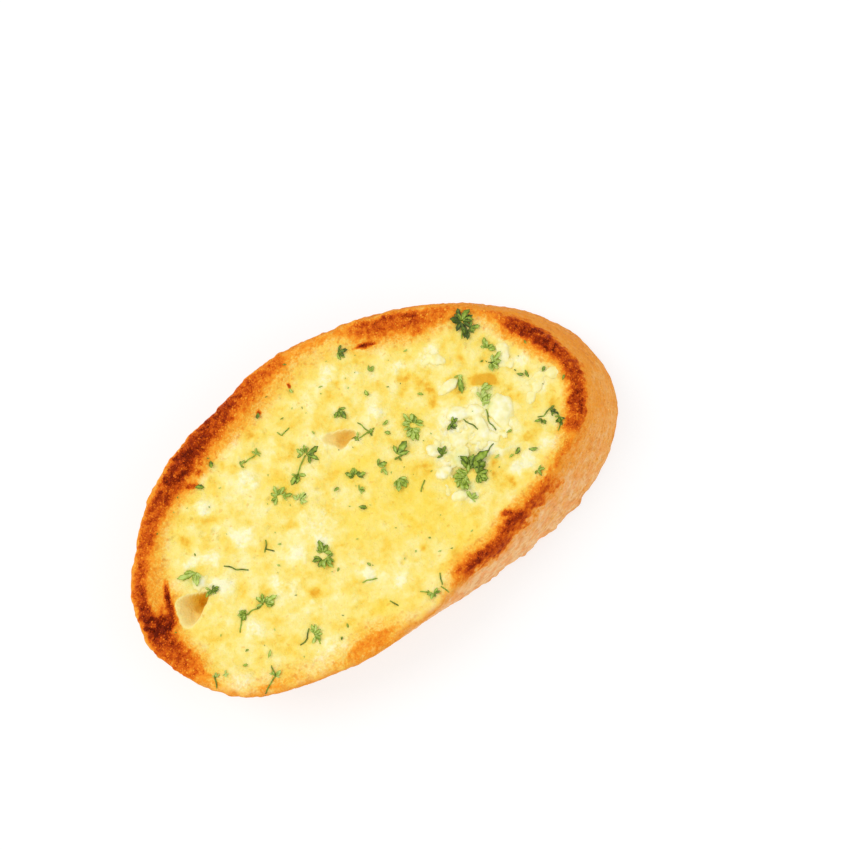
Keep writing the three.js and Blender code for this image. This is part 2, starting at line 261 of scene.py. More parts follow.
def browning(angle, inset, x, y, z=0.0):
    # 0 for plain crumb, 1 for burnt. inset is negative down the crust.
    degrees = math.degrees(angle) % 360
    dark, coreOut, coreIn, faded = clockRow(toastClock, degrees)
    here = Vector((x, y, z))
    ragged = wander(toasting["ragged"], here)
    at = inset + ragged
    patchy = wander(toasting["patchy"], here, 1)
    rim = roundTheClock(rimTones, angle)
    if at > coreIn:
        share = (at - coreIn) / (faded - coreIn)
        glow = toasting["glowLeast"] + toasting["glowMore"] * dark
        level = dark * patchy * (1 - smoothStep(*toasting["core"], share))
        level = max(level, glow * (1 - smoothStep(*toasting["glow"], share)))
        level = max(level, toasting["rimShare"] * rim * (1 - smoothStep(*toasting["rim"], at)))
    elif at > coreOut:
        level = dark * patchy
    else:
        level = between(dark * patchy, rim, smoothStep(*toasting["outward"], coreOut - at))
        level = min(level, rim) if dark < rim else level
    level *= 1 - smoothStep(*toasting["down"], -at)
    fromMiddle = math.hypot(x + bread["slant"] / 2, y)
    full, gone = toasting["spot"]
    for spots, sign in ((pale, -1), (scorches, 1)):
        for atDegrees, atInset, along, across, darkness in spots:
            turned = math.radians((degrees - atDegrees + 180) % 360 - 180) * fromMiddle
            inward = inset - atInset + toasting["spotRagged"] * ragged
            reach = math.hypot(turned / along, inward / across)
            if reach < gone:
                share = 1 - smoothStep(full, gone, reach)
                mark = darkness * (patchy if sign > 0 else 1)
                level = sign * max(sign * level, sign * between(level, mark, share))
    return min(1.0, max(0.0, level))


def spotShare(spots, x, y):
    # 1 in the middle of a spot, 0 outside all of them, with ragged edges
    here = Vector((x, y, 3))
    x += wander(spotWander, here)
    y += wander(spotWander, -here)
    best = 0.0
    for spotX, spotY, size in spots:
        away = math.hypot(x - spotX, y - spotY) / size
        if away < 1:
            best = max(best, 1 - smoothStep(spotMiddle, 1, away))
    return best


def bubbleShare(x, y):
    # 1 on the burst bubble's golden side
    dx = x - goldBubble["x"]
    dy = y - goldBubble["y"]
    wobble = wander(goldBubble["wobble"], Vector((x, y, 1)))
    off = max(0, math.hypot(dx, dy) - goldBubble["radius"] + wobble)
    degrees = math.degrees(math.atan2(dy, dx))
    ease = goldBubble["ease"]
    ends = smoothStep(0, ease, degrees - goldBubble["from"])
    ends *= smoothStep(0, ease, goldBubble["to"] - degrees)
    patchy = wander(goldBubble["patchy"], Vector((x, y, 4)), 1)
    return ends * patchy * (1 - smoothStep(0, 1, off / goldBubble["soft"]))


def holeShare(x, y):
    # depth of the burst air hole at this place, and its painted shading there: low for the lit cream slope,
    # high for the gold painted shade of its shadowed wall
    for hole in airHoles:
        dx = x - hole["x"]
        dy = y - hole["y"]
        distance = math.hypot(dx, dy)
        away = distance / roundTheClock(hole["reach"], math.atan2(dy, dx))
        if away < 1:
            lip = smoothStep(0, hollow["lip"], 1 - away)
            wobble = wander(hollow["wobble"], Vector((x, y, 2)), 1)
            deep = lip * hole["deep"] * (1 - away ** hollow["bowl"]) * wobble
            middle = 1 - smoothStep(hollow["holeShadeFrom"], hole["golden"], distance)
            golden = between(hollow["leastHoleShade"], hole["tint"], middle)
            return deep, golden * smoothStep(0, hollow["rim"], 1 - away)
    return 0.0, 0.0


def poreDepth(x, y):
    distances, cells = noise.voronoi(Vector((x, y, 0)) / pores["every"])
    draw = noise.cell(cells[0] * pores["draw"])
    if abs(draw) > pores["share"]:
        return 0.0
    size = between(*pores["size"], abs(draw) / pores["share"])
    return pores["deep"] * (1 - smoothStep(pores["flat"], 1, distances[0] * pores["every"] / size))


def facePoint(share, angle):
    # one point of the buttered face with its fields
    radius = outlineRadius(bread["upperSwell"], angle)
    inset = (1 - share) * (radius - edgeIn) + edgeIn
    cutBack = radius - inset
    x = cutBack * math.cos(angle) - bread["slant"] / 2
    y = cutBack * math.sin(angle)
    toast = browning(angle, inset, x, y)
    cream = spotShare(creamSpots, x, y) * (1 - smoothStep(*butteredFace["creamFade"], toast))
    bubble = bubbleShare(x, y)
    gold = max(spotShare(goldSpots, x, y), goldBubble["gold"] * bubble)
    butter = spotShare(butterPools, x, y)
    inner = smoothStep(bread["rimInset"], 3 * bread["rimInset"], inset)
    crest = math.exp(-((inset - bread["rimInset"]) / bread["rimSpread"]) ** 2)
    rise = bread["rimRise"] * crest - bread["crumbSag"] * inner
    rise += bumps("swells", x, y) * inner + bumps("crags", x, y) + bumps("crumbs", x, y)
    rise += toast * bumps("rimGrain", x, y)
    mash = butteredFace["creamRise"] + bumps("mush", x, y)
    rise += cream * mash - butteredFace["goldDip"] * gold + goldBubble["rise"] * bubble
    rise -= inner * poreDepth(x, y) * (1 - cream)
    # the hole's painted light and shade go to the finish as a field, and no browning shows inside the hole
    deep, shadingInHole = holeShare(x, y)
    rise -= deep
    toast *= 1 - smoothStep(*butteredFace["holeFade"], shadingInHole)
    rise -= edgeDrop(inset, bread["upperEdge"])
    out = crustOut(angle, 1.0, bread["thick"]) * (1 - smoothStep(*butteredFace["edgeBlend"], inset))
    x += out * math.cos(angle)
    y += out * math.sin(angle)
    fromEdge = inset + wander(butteredFace["crustWander"], Vector((x, y, 0)))
    return (x, y, bread["thick"] + rise), {
        **noFields, "toast": toast, "cream": cream, "gold": gold, "pit": shadingInHole,
        "butter": butter, "herb": spotShare(herbSpots, x, y),
        "crust": 1 - smoothStep(*butteredFace["crustEdge"], fromEdge), "side": cornerSide(angle, 0.0),
    }


def crustSide(angle):
    # 1 on the loaf's well baked top, 0 on its pale base
    return 0.5 + 0.5 * math.sin(angle + bread["loafTurn"])


def cornerSide(angle, below):
    # the same, but the toasted corner above the pale base isn't pale itself
    return max(crustSide(angle), crustWall["corner"] * (1 - smoothStep(*crustWall["cornerFade"], below)))


def creaseShare(x, y, height):
    # 1 along the fine creases that run along the crust, 0 between them
    wavering = height / creases["up"] + wander(creases["wander"], Vector((x, y, height)))
    here = Vector((x / creases["along"], y / creases["along"], wavering))
    finer, often = creases["finer"]
    line = noise.noise(here) + finer * noise.noise(here * often)
    return max(0.0, 1 - abs(line) / creases["wide"])


def fromBlister(here):
    # how far off the nearest blister's middle is, as a share of their spacing
    return noise.voronoi(here / blisters["every"])[0][0]


def crustOut(angle, level, height):
    # how far the crust stands out beyond the straight line from one face's outline to the other's
    radius = outlineRadius(bread["upperSwell"], angle)
    x = radius * math.cos(angle)
    y = radius * math.sin(angle)
    onCrust = math.sin(math.pi * level)
    eased = min(1, crustWall["ease"] * onCrust)
    base = 1 - smoothStep(*crustWall["base"], crustSide(angle))
    least, growth = crustWall["crags"]
    cragged = min(1, least + growth * onCrust)
    out = bread["crustBulge"] * onCrust + bumps("crustCrags", x, y, height) * cragged
    out += bumps("crustSkin", x, y, height)
    out -= (crustWall["creased"] + base) * creases["deep"] * creaseShare(x, y, height) * eased
    teeth = bumps("rimTeeth", x, y, height)
    nicks = bumps("rimNicks", x, y, height)
    scallops = bumps("scallops", x, y) + teeth + nicks
    out += (crustWall["scalloped"] + base) * scallops * (1 - smoothStep(0, crustWall["scallopsTo"], level))
    onBase, more = crustWall["toothed"]
    out += (onBase + more * (1 - base)) * (teeth + nicks) * smoothStep(crustWall["teethFrom"], 1, level)
    raised = max(0.0, blisters["wide"] - fromBlister(Vector((x, y, height)))) / blisters["wide"]
    least, growth = blisters["grown"]
    grown = least + growth * smoothStep(*blisters["side"], crustSide(angle))
    return out + blisters["tall"] * raised * grown * eased


def crustPoint(angle, level):
    # level is 1 at the upper edge and 0 at the lower one, both on their worn corners
    upper = outlineRadius(bread["upperSwell"], angle)
    height = between(footIn, bread["thick"] - edgeIn, level)
    below = bread["thick"] - height
    radius = between(outlineRadius(bread["lowerSwell"], angle), upper, level)
    radius -= edgeDrop(below, bread["upperEdge"]) + edgeDrop(height, bread["lowerEdge"])
    radius += crustOut(angle, level, height)
    x = radius * math.cos(angle) + bread["slant"] * (0.5 - level)
    y = radius * math.sin(angle)
    here = Vector((x, y, height))
    under = height + wander(crustWall["underWander"], here)
    return (x, y, height), {
        **noFields, "crust": 1.0, "side": cornerSide(angle, below),
        "toast": browning(angle, -toasting["downCrust"] * below, x, y, height),
        "gold": max(0.0, 1 - fromBlister(here) / blisters["wide"]),
        # the crease field only darkens the colour, as painted shade in the creases
        "crease": creaseShare(upper * math.cos(angle), upper * math.sin(angle), height),
        "under": 1 - smoothStep(*crustWall["under"], under),
    }


def lowerPoint(share, angle):
    # the lower cut face, flat where it rests
    radius = share * (outlineRadius(bread["lowerSwell"], angle) - bread["lowerEdge"])
    x = radius * math.cos(angle) + bread["slant"] / 2
    y = radius * math.sin(angle)
    uneven = 1 + noise.noise(Vector((x, y, 9)) / lowerFace["every"])
    rise = lowerFace["pores"] * poreDepth(x, y) + lowerFace["uneven"] * uneven
    rise *= 1 - smoothStep(*lowerFace["flat"], share)
    toast = lowerFace["toast"] + lowerFace["rimToast"] * smoothStep(lowerFace["rimFrom"], 1, share)
    return (x, y, rise), {
        **noFields, "toast": wander(lowerFace["patchy"], Vector((x, y, 5)), toast),
        "crust": smoothStep(lowerFace["crustFrom"], 1, share), "side": crustSide(angle), "under": 1.0,
    }


def discPlace(u, v):
    # a square's place, u and v from -1 to 1, spread over a disc: share of the radius, and angle
    if u == 0 and v == 0:
        return 0.0, 0.0
    if abs(u) > abs(v):
        share, turn = u, math.pi / 4 * v / u
    else:
        share, turn = v, math.pi / 2 - math.pi / 4 * u / v
    if share < 0:
        share, turn = -share, turn + math.pi
    stretched = math.atan2(bread["width"] * math.sin(turn), bread["length"] * math.cos(turn))
    return share, stretched


def gridPlaces(across, along):
    for j in range(along + 1):
        for i in range(across + 1):
            yield discPlace(2 * i / across - 1, 2 * j / along - 1)


def gridFaces(across, along, start, flip=False):
    faces = []
    for j in range(along):
        for i in range(across):
            a = start + j * (across + 1) + i
            face = (a, a + 1, a + across + 2, a + across + 1)
            faces.append(face[::-1] if flip else face)
    return faces


def gridRim(across, along, start):
    # once round the grid's border, counter-clockwise from its first corner
    row = across + 1
    rim = [start + i for i in range(across)]
    rim += [start + j * row + across for j in range(along)]
    rim += [start + along * row + across - i for i in range(across)]
    rim += [start + (along - j) * row for j in range(along)]
    return rim


def makeBread():
    across, along = bread["faceCells"]
    points = []
    fieldRows = []

    def put(made):
        points.append(made[0])
        fieldRows.append(made[1])

    places = list(gridPlaces(across, along))
    for share, angle in places:
        put(facePoint(share, angle))
    faces = gridFaces(across, along, 0)
    ring = gridRim(across, along, 0)
    angles = [places[k][1] for k in ring]

    rows = bread["crustRows"]
    for row in range(1, rows + 1):
        plain = row / rows
        crowded = 0.5 - 0.5 * math.cos(math.pi * plain)
        level = 1 - between(plain, crowded, bread["crowding"])
        start = len(points)
        for angle in angles:
            put(crustPoint(angle, level))
        fresh = list(range(start, start + len(angles)))
        for k in range(len(ring)):
            following = (k + 1) % len(ring)
            faces.append((ring[following], ring[k], fresh[k], fresh[following]))
        ring = fresh

    start = len(points)
    for share, angle in gridPlaces(across // 2, along // 2):
        put(lowerPoint(share, angle))
    faces += gridFaces(across // 2, along // 2, start, flip=True)
    inner = gridRim(across // 2, along // 2, start)
    for k in range(len(inner)):
        a, b, c = ring[2 * k], ring[2 * k + 1], ring[(2 * k + 2) % len(ring)]
        p, q = inner[k], inner[(k + 1) % len(inner)]
        faces += [(b, a, p), (q, b, p), (c, b, q)]
    return points, faces, fieldRows


def placed(point):
    # from the slice's own millimetres to the frame's metres
    shift = bread["centring"]
    return Vector((point[0] + shift[0], point[1] + shift[1], point[2])) * mm


def addFields(mesh, fields):
    for field, values in fields.items():
        mesh.attributes.new(field, "FLOAT", "POINT").data.foreach_set("value", values)


def makePiece(name, points, faces, fields, finish, smooth=True):
    mesh = bpy.data.meshes.new(name)
    mesh.from_pydata([placed(p) for p in points], [], faces)
    addFields(mesh, fields)
    mesh.polygons.foreach_set("use_smooth", [smooth] * len(mesh.polygons))
    mesh.materials.append(finish)
    piece = bpy.data.objects.new(name, mesh)
    bpy.context.scene.collection.objects.link(piece)
    return piece


def tone(red, green, blue):
    # a colour as seen, 0 to 255, made linear
    def linear(value):
        value /= 255
        return value / 12.92 if value <= 0.04045 else ((value + 0.055) / 1.055) ** 2.4
    return (linear(red), linear(green), linear(blue), 1.0)


class Wire:
    # one socket of a material's tree: arithmetic on it adds Math nodes
    def __init__(self, tree, socket=None):
        self.tree = tree
        self.socket = socket

    def node(self, kind, settings, sockets, out=0):
        made = self.tree.nodes.new(kind)
        for name, value in settings.items():
            if name == "stops":
                ramp = made.color_ramp
                ramp.elements.remove(ramp.elements[1])
                ramp.elements[0].position, ramp.elements[0].color = value[0]
                for at, colour in value[1:]:
                    ramp.elements.new(at).color = colour
            else:
                setattr(made, name, value)
        for name, value in sockets.items():
            if isinstance(value, Wire):
                self.tree.links.new(value.socket, made.inputs[name])
            else:
                made.inputs[name].default_value = value
        return Wire(self.tree, made.outputs[out] if made.outputs else None)

    def maths(self, operation, a, b):
        return self.node("ShaderNodeMath", {"operation": operation}, {0: a, 1: b})

    def __add__(self, other):
        return self.maths("ADD", self, other)

    def __sub__(self, other):
        return self.maths("SUBTRACT", self, other)

    def __rsub__(self, other):
        return self.maths("SUBTRACT", other, self)

    def __mul__(self, other):
        return self.maths("MULTIPLY", self, other)

    __radd__ = __add__
    __rmul__ = __mul__

    def field(self, name):
        return self.node("ShaderNodeAttribute", {"attribute_name": name}, {}, "Fac")

    def place(self):
        return self.node("ShaderNodeTexCoord", {}, {}, "Object")

    def grain(self, size, detail=2):
        # noise from 0 to 1 whose features are about this many millimetres apart
        values = {"Vector": self.place(), "Scale": 1 / (size * mm), "Detail": detail}
        return self.node("ShaderNodeTexNoise", {}, values, "Fac")

    def step(self, low, high, value):
        ranges = {"Value": value, "From Min": low, "From Max": high}
        return self.node("ShaderNodeMapRange", {"interpolation_type": "SMOOTHSTEP"}, ranges)

    def colours(self, stops, value):
        return self.node("ShaderNodeValToRGB", {"stops": stops}, {"Fac": value})

    def mixed(self, share, first, second):
        return self.node("ShaderNodeMix", {"data_type": "RGBA"}, {0: share, 6: first, 7: second}, 2)

    def marks(self, ranges):
        # noise from 0 to 1, with more contrast: where it starts and ends, size and detail
        low, high, size, detail = ranges
        return self.step(low, high, self.grain(size, detail))

    def bump(self, height, deep):
        values = {"Height": height, "Distance": deep * mm, "Strength": 1.0}
        return self.node("ShaderNodeBump", {}, values)


def newFinish(name):
    finish = bpy.data.materials.new(name)
    finish.use_nodes = True
    finish.node_tree.nodes.clear()
    return finish, Wire(finish.node_tree)


def closeFinish(wire, values):
    body = wire.node("ShaderNodeBsdfPrincipled", {}, values, "BSDF")
    wire.node("ShaderNodeOutputMaterial", {}, {"Surface": body})


breadLooks = {
    "crumb": [
        (0.0, tone(238, 176, 46)), (0.2, tone(249, 210, 82)), (0.4, tone(252, 225, 112)),
        (0.6, tone(253, 233, 140)), (0.8, tone(255, 241, 168)), (1.0, tone(255, 248, 200)),
    ],
    "toast": [
        (0.1, tone(253, 212, 100)), (0.24, tone(252, 186, 62)), (0.38, tone(248, 152, 36)),
        (0.52, tone(234, 120, 20)), (0.66, tone(210, 88, 10)), (0.82, tone(166, 52, 2)),
        (1.0, tone(104, 22, 0)),
    ],
    "crust": [
        (0.1, tone(255, 202, 140)), (0.3, tone(251, 180, 90)), (0.5, tone(250, 160, 46)),
        (0.75, tone(240, 142, 36)), (1.0, tone(220, 118, 28)),
    ],
    # painted shade in the crust's creases and crack streaks
    "crackShade": tone(212, 138, 80),
    # the crust's own grainy tone, and also painted shade in its pocks and wrinkle valleys
    "gritAndShade": tone(214, 122, 52),
    "flake": tone(255, 216, 166),
    "ruddy": tone(252, 162, 84),
    "butter": tone(253, 222, 78),
    "blister": tone(250, 200, 128),
    # painted light and shade inside the burst air holes: lit cream at 0, deepening to the gold of their
    # shadowed walls
    "hollow": [
        (0.0, tone(255, 242, 176)), (0.25, tone(255, 232, 150)), (0.5, tone(248, 212, 116)),
        (0.72, tone(238, 194, 80)), (1.0, tone(232, 176, 40)),
    ],
    "freckle": tone(216, 110, 16),
    "golden": tone(236, 178, 50),
    "herb": tone(196, 212, 104),
    "speck": tone(232, 160, 40),
    "under": tone(216, 138, 54),
}


# noise that marks the bread, in the order in which breadFinish takes it: where it starts and ends,
# the distance from one mark to the next in millimetres, and its detail
breadMarks = {
    "broad": (0.32, 0.68, 4.6, 1), "middling": (0.32, 0.68, 2.1, 2), "fine": (0.3, 0.7, 0.8, 2),
    "speck": (0.3, 0.7, 0.36, 2), "coarse": (0.34, 0.66, 0.52, 2), "dotted": (0.66, 0.76, 1.1, 1),
    "freckled": (0.56, 0.68, 1.1, 1), "patch": (0.46, 0.62, 2.6, 2), "pocked": (0.62, 0.72, 0.8, 1),
    "gritty": (0.35, 0.65, 0.45, 2), "dusty": (0.64, 0.74, 0.6, 1),
}
# streaks that run along the crust: millimetres from one to the next, then how much finer wrinkles are
streaks = {"along": 2.6, "up": 1.1, "detail": 3.0, "finer": 2.6}
# where each layer of colour starts to show and shows fully, of the field or marks that it follows
breadFades = {
    "golden": (0.95, 2.1), "hollow": (0.0, 0.25), "base": (0.15, 0.5), "flake": (0.48, 0.62),
    # the crust's fades for cracks and wrinkles pick out the low streaks and the wrinkle valleys that get
    # painted shade
    "fineFlake": (0.5, 0.62), "crackShade": (0.47, 0.32), "wrinkle": (0.46, 0.34), "blister": (0.1, 0.7),
    "blisterSide": (0.35, 0.8), "dustSide": (0.45, 0.75), "freckle": (0.1, 0.24),
    "freckleEnd": (0.5, 0.34), "scorched": (0.5, 0.9),
}
# how strongly it shows. Where there are two, the second is what marks or the loaf's base add.
breadShares = {
    "butter": 0.5, "speck": 0.35, "golden": 0.9, "goldenPatches": (0.6, 0.4), "herb": (0.2, 0.35),
    # on the crust, the shares for cracks, pocks and wrinkles are painted shade in those hollows; the grit
    # share is partly the crust's own grainy tone
    "flake": (0.05, 0.45), "ruddy": 0.66, "crackShade": (0.03, 0.42), "pockShade": 0.3, "gritAndShade": 0.22,
    "wrinkle": 0.2, "blister": 0.42, "blisterSide": (0.25, 0.75), "dust": 0.3, "under": 0.5,
    "freckle": 0.36, "leastToast": 0.36,
}


def patchyShare(name, marks):
    least, more = breadShares[name]
    return least + more * marks


def breadFinish():
    finish, wire = newFinish("toasted_bread")
    toast, cream, gold, butter, pit, herb, crust, side, under, crease = map(wire.field, noFields)
    broad, middling, fine, speck, coarse, dotted, freckled, patch, pocked, gritty, dusty = map(
        wire.marks, breadMarks.values(),
    )

    mottle = 0.14 + 0.3 * broad + 0.28 * middling + 0.1 * fine + 0.04 * speck
    mottle = mottle + cream * (0.3 + 0.2 * fine) - 0.1 * butter - 0.32 * gold
    crumb = wire.colours(breadLooks["crumb"], mottle)
    crumb = wire.mixed(breadShares["butter"] * butter, crumb, breadLooks["butter"])
    crumb = wire.mixed(breadShares["speck"] * dotted * (1 - cream), crumb, breadLooks["speck"])
    burst = wire.step(*breadFades["golden"], gold) * patchyShare("goldenPatches", middling)
    crumb = wire.mixed(breadShares["golden"] * burst, crumb, breadLooks["golden"])
    crumb = wire.mixed(herb * patchyShare("herb", middling), crumb, breadLooks["herb"])
    # painted light and shade inside the burst air holes
    holeLitAndShaded = wire.colours(breadLooks["hollow"], pit)
    crumb = wire.mixed(wire.step(*breadFades["hollow"], pit), crumb, holeLitAndShaded)

    baked = side + 0.5 * (wire.grain(6.5) - 0.5) + 0.2 * (middling - 0.5) + 0.14 * (fine - 0.5)
    crustColour = wire.colours(breadLooks["crust"], baked)
    along = 1 / (streaks["along"] * mm)
    spread = {"Vector": wire.place(), "Scale": (along, along, 1 / (streaks["up"] * mm))}
    stretched = wire.node("ShaderNodeMapping", {}, spread)
    shared = {"Vector": stretched, "Detail": streaks["detail"]}
    streak = wire.node("ShaderNodeTexNoise", {}, {**shared, "Scale": 1.0}, "Fac")
    wrinkle = wire.node("ShaderNodeTexNoise", {}, {**shared, "Scale": streaks["finer"]}, "Fac")
    base = 1 - wire.step(*breadFades["base"], side)
    flaky = 0.6 * wire.step(*breadFades["flake"], streak)
    flaky = flaky + 0.5 * wire.step(*breadFades["fineFlake"], wrinkle)
    crustColour = wire.mixed(patchyShare("flake", base) * flaky, crustColour, breadLooks["flake"])
    crustColour = wire.mixed(breadShares["ruddy"] * base * patch, crustColour, breadLooks["ruddy"])
    # painted shade: darker along the crust's creases and crack streaks
    crackShaded = 0.5 * crease + 0.6 * wire.step(*breadFades["crackShade"], streak)
    crustColour = wire.mixed(patchyShare("crackShade", base) * crackShaded, crustColour, breadLooks["crackShade"])
    # painted shade in the pocks and in the wrinkle valleys, with the crust's own darker grit
    gritAndShadeMix = breadShares["pockShade"] * pocked + breadShares["gritAndShade"] * gritty * (1 - 0.4 * base)
    gritAndShadeMix = gritAndShadeMix + breadShares["wrinkle"] * wire.step(*breadFades["wrinkle"], wrinkle)
    crustColour = wire.mixed(gritAndShadeMix, crustColour, breadLooks["gritAndShade"])
    bakedMost = wire.step(*breadFades["blisterSide"], side)
    blistered = wire.step(*breadFades["blister"], gold) * patchyShare("blisterSide", bakedMost)
    dusted = dusty * wire.step(*breadFades["dustSide"], side)
    blistered = breadShares["blister"] * blistered + breadShares["dust"] * dusted
    crustColour = wire.mixed(blistered, crustColour, breadLooks["blister"])
    crustColour = wire.mixed(breadShares["under"] * under, crustColour, breadLooks["under"])
    colour = wire.mixed(crust, crumb, crustColour)

    sandy = 0.24 * (coarse - 0.5) + 0.2 * (speck - 0.5)
    grainy = toast + toast * (1.25 - toast) * sandy
    atLeast = wire.maths("MAXIMUM", grainy, breadShares["leastToast"] * crust)
    toasted = wire.colours(breadLooks["toast"], atLeast)
    colour = wire.mixed(wire.step(0.05 + 0.07 * crust, 0.34 + 0.16 * crust, grainy), colour, toasted)
    lightly = wire.step(*breadFades["freckle"], toast) * wire.step(*breadFades["freckleEnd"], toast)
    freckled = breadShares["freckle"] * freckled * lightly * (1 - crust)
    colour = wire.mixed(freckled, colour, breadLooks["freckle"])

    height = 0.35 * fine + 0.2 * speck + 0.6 * toast * coarse
    height = height + crust * (1.1 * wrinkle + 0.3 * gritty - 0.5 * pocked)
    scorched = wire.step(*breadFades["scorched"], toast)
    closeFinish(wire, {
        "Base Color": colour,
        "Roughness": 0.42 + 0.1 * speck + 0.26 * crust - 0.08 * (1 - crust) * scorched,
        "Specular IOR Level": 0.07,
        "Subsurface Weight": 0.18,
        "Subsurface Radius": (1.0, 0.7, 0.35),
        "Subsurface Scale": 0.0012,
        "Normal": wire.bump(height, 0.22),
    })
    return finish


def makeBreadPiece():
    points, faces, fieldRows = makeBread()
    fields = {name: [row[name] for row in fieldRows] for name in fieldRows[0]}
    piece = makePiece("garlic_bread", points, faces, fields, breadFinish())
    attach(piece, "root")
    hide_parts("garlic_bread_slice")
    print("bread:", len(faces), "faces")
    return points, faces


castFrom = 60.0                        # above everything
offBread = -1e3                        # height that means nothing is under a place


def heightAt(ground, x, y, missed=None):
    hit = ground.ray_cast(Vector((x, y, castFrom)), Vector((0, 0, -1)))[0]
    return hit.z if hit else missed


class Heap:
    # many small closed shapes, gathered into one mesh
    def __init__(self):
        self.points = []
        self.faces = []
        self.shades = []
        self.ribs = []

    def add(self, points, faces, shade, ribs=None):
        start = len(self.points)
        self.points += points
        self.faces += [[start + k for k in face] for face in faces]
        self.shades += [shade] * len(points)
        self.ribs += ribs or [0.0] * len(points)

    def piece(self, name, finish, smooth=True):
        fields = {"shade": self.shades, "rib": self.ribs}
        return makePiece(name, self.points, self.faces, fields, finish, smooth)


def ball(detail):
    # a round starting shape: its corners and its triangles
    made = bmesh.new()
    bmesh.ops.create_icosphere(made, subdivisions=detail, radius=1.0)
    corners = [v.co.copy() for v in made.verts]
    triangles = [[v.index for v in face.verts] for face in made.faces]
    made.free()
    return corners, triangles


garlic = {
    "seed": 11, "voxel": 0.2, "smoothing": 12,
    "cuts": 6, "chopped": (0.66, 0.9),    # how close to a bit's middle each cut goes
    "uneven": (0.16, 2.2),             # height, and how often over a bit
    "sunk": 0.06,                      # a whole bit lies this much of its height deeper
    "lumps": [(0.2, 1.9), (0.07, 0.7)],   # its surface's own relief, as (height, spacing)
    # whole bits: x, y, length, width, height, the way it points
    "bits": [
        (29.8, -6, 10.2, 6.4, 3.4, 68), (22, -0.6, 5, 3.8, 2.4, -32), (25.3, -2.2, 5.2, 3.6, 2.4, -20),
        (24.4, -5.8, 7.2, 3.2, 2, 80), (25, -8.6, 4.8, 2.6, 1.5, -70), (19.1, -5.5, 5, 3.6, 1.7, -35),
        (17, -9.2, 4.4, 3.8, 1.7, 86), (13.4, -4.5, 4.6, 3, 1.4, -59), (12.1, -9.4, 4, 2.8, 1.2, -2),
        (23.9, 5.4, 5.6, 2.4, 1.7, 4), (36.6, -6.6, 3.6, 2.4, 1.3, 20), (39.4, -5.5, 3.2, 2.4, 1.2, 40),
        (44, -5, 3.6, 3, 1.2, -27), (38.2, 6.2, 3.2, 2.6, 1.2, -20), (37.6, 2.6, 2.4, 1.8, 0.9, -60),
        (25.2, 12, 5, 3, 1.3, -57), (12.3, -15.7, 4.4, 2.8, 1.4, -10), (-43.2, 0.4, 4, 3, 2.4, -25),
        (28, 1.5, 2, 1.6, 0.9, 20),
    ],
    # heaps of minced bits, in the same way, with how thick they lie
    "heaps": [
        (28, -8.5, 6, 3, 54, 0.4), (21, -3.5, 6, 4, -25, 0.7), (17, -7.5, 6, 4, 26, 0.7),
        (14.5, -5, 5, 3, -50, 0.5), (22.5, -8, 5, 3, 60, 0.6), (11.6, -12, 4.6, 3, 60, 0.4),
        (40.5, -5, 6, 3.4, -20, 0.5), (38, 3, 6, 3, -70, 0.7), (24.4, 13, 5, 3, -45, 0.4),
        (-42.5, 0.5, 4.4, 3, -25, 0.7), (27.5, -1, 4, 2, 60, 0.5),
    ],
    "minced": (0.8, 1.9), "stretch": (1, 1.7), "flat": 0.5,
    "bedded": (-0.12, 0.08), "heaped": 0.7, "heapedFrom": 0.5,
    "melt": 0.5,
}


def garlicFinish():
    finish, wire = newFinish("chopped_garlic")
    cloudy = wire.marks((0.3, 0.7, 2.4, 2))
    stops = [
        (0.0, tone(244, 236, 170)), (0.35, tone(251, 245, 194)),
        (0.7, tone(253, 250, 214)), (1.0, tone(254, 252, 230)),
    ]
    buttery = wire.mixed(wire.marks((0.3, 0.7, 0.9, 2)), tone(252, 234, 142), tone(254, 244, 178))
    melted = wire.step(1.1, 0.1, wire.field("rise") + 0.5 * (wire.grain(1.2) - 0.5))
    colour = wire.mixed(melted, wire.colours(stops, cloudy), buttery)
    colour = wire.mixed(wire.field("herb") * (0.15 + 0.4 * cloudy), colour, breadLooks["herb"])
    closeFinish(wire, {
        "Base Color": colour,
        "Roughness": 0.34 + 0.2 * wire.grain(0.7),
        "Specular IOR Level": 0.35,
        "Subsurface Weight": 0.2,
        "Subsurface Radius": (1.0, 0.85, 0.5),
        "Subsurface Scale": 0.0012,
        "Normal": wire.bump(wire.grain(0.7), 0.07),
    })
    return finish


def addChip(heap, corners, triangles, middle, size, turn, draw):
    # a ball cut flat by a few strokes of the knife, then a little uneven
    tall, often = garlic["uneven"]
    cuts = []
    for _ in range(garlic["cuts"]):
        way = Vector((draw.gauss(0, 1), draw.gauss(0, 1), draw.gauss(0, 1))).normalized()
        cuts.append((way, draw.uniform(*garlic["chopped"])))
    seed = Vector((draw.uniform(0, 50), 0, 0))
    cosine = math.cos(turn)
    sine = math.sin(turn)
    points = []
    for corner in corners:
        p = corner.copy()
        for way, at in cuts:
            p -= way * max(0.0, p.dot(way) - at)
        p *= 1 + tall * noise.noise(p * often + seed)
        x = p.x * size[0] / 2
        y = p.y * size[1] / 2
        z = p.z * size[2] / 2
        points.append(middle + Vector((x * cosine - y * sine, x * sine + y * cosine, z)))
    heap.add(points, triangles, 0.5)


